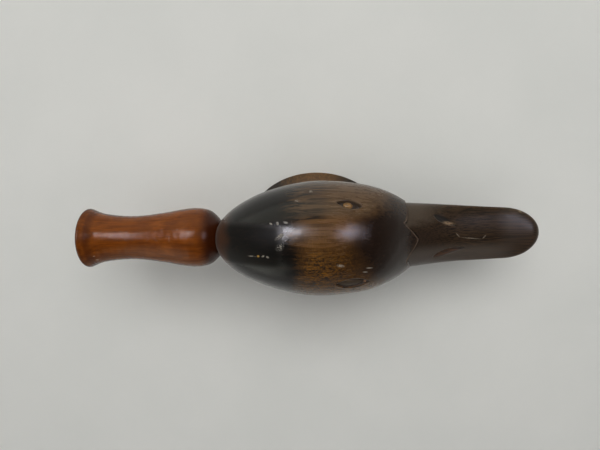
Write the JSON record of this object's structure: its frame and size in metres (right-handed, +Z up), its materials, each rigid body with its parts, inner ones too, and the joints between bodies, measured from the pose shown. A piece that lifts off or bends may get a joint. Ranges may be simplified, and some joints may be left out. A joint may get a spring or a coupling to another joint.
{
  "type": "ocarina",
  "caption": "Carved wooden vessel flute in the form of a duck's head on a flared neck, with a turned mouthpiece at the nape, a long bill and finger holes in the neck.",
  "frame": {"origin": "centre of the flat foot under the neck", "axes": "+Z up through the crown of the head, +X towards the tip of the bill, +Y to the duck's left"},
  "size_m": [0.2023, 0.054, 0.0735],
  "materials": {
    "head_wood": "satin",
    "neck_wood": "satin",
    "plug_wood": "matte",
    "bill_wood": "satin",
    "dowel_wood": "matte",
    "eye_wood": "satin",
    "block_wood": "satin",
    "mouthpiece_wood": "gloss",
    "cork": "matte"
  },
  "bodies": {
    "instrument": {"head": "head_wood", "neck": "neck_wood", "base_plug": "plug_wood", "bill": "bill_wood", "bill_dowels": "dowel_wood", "eye_left": "eye_wood", "eye_right": "eye_wood", "windway_block": "block_wood"},
    "cork_ring": {"tenon_cork": "cork"},
    "mouthpiece": {"mouthpiece": "mouthpiece_wood"}
  },
  "joints": [
    {"name": "mouthpiece_pull", "type": "slide", "parent": "instrument", "child": "cork_ring", "axis": [-1, 0, 0], "range_m": [0, 0.01]},
    {"name": "mouthpiece_turn", "type": "hinge", "parent": "cork_ring", "child": "mouthpiece", "pos_m": [-0.031, 0, 0.046], "axis": [1, 0, 0], "continuous": true}
  ]
}
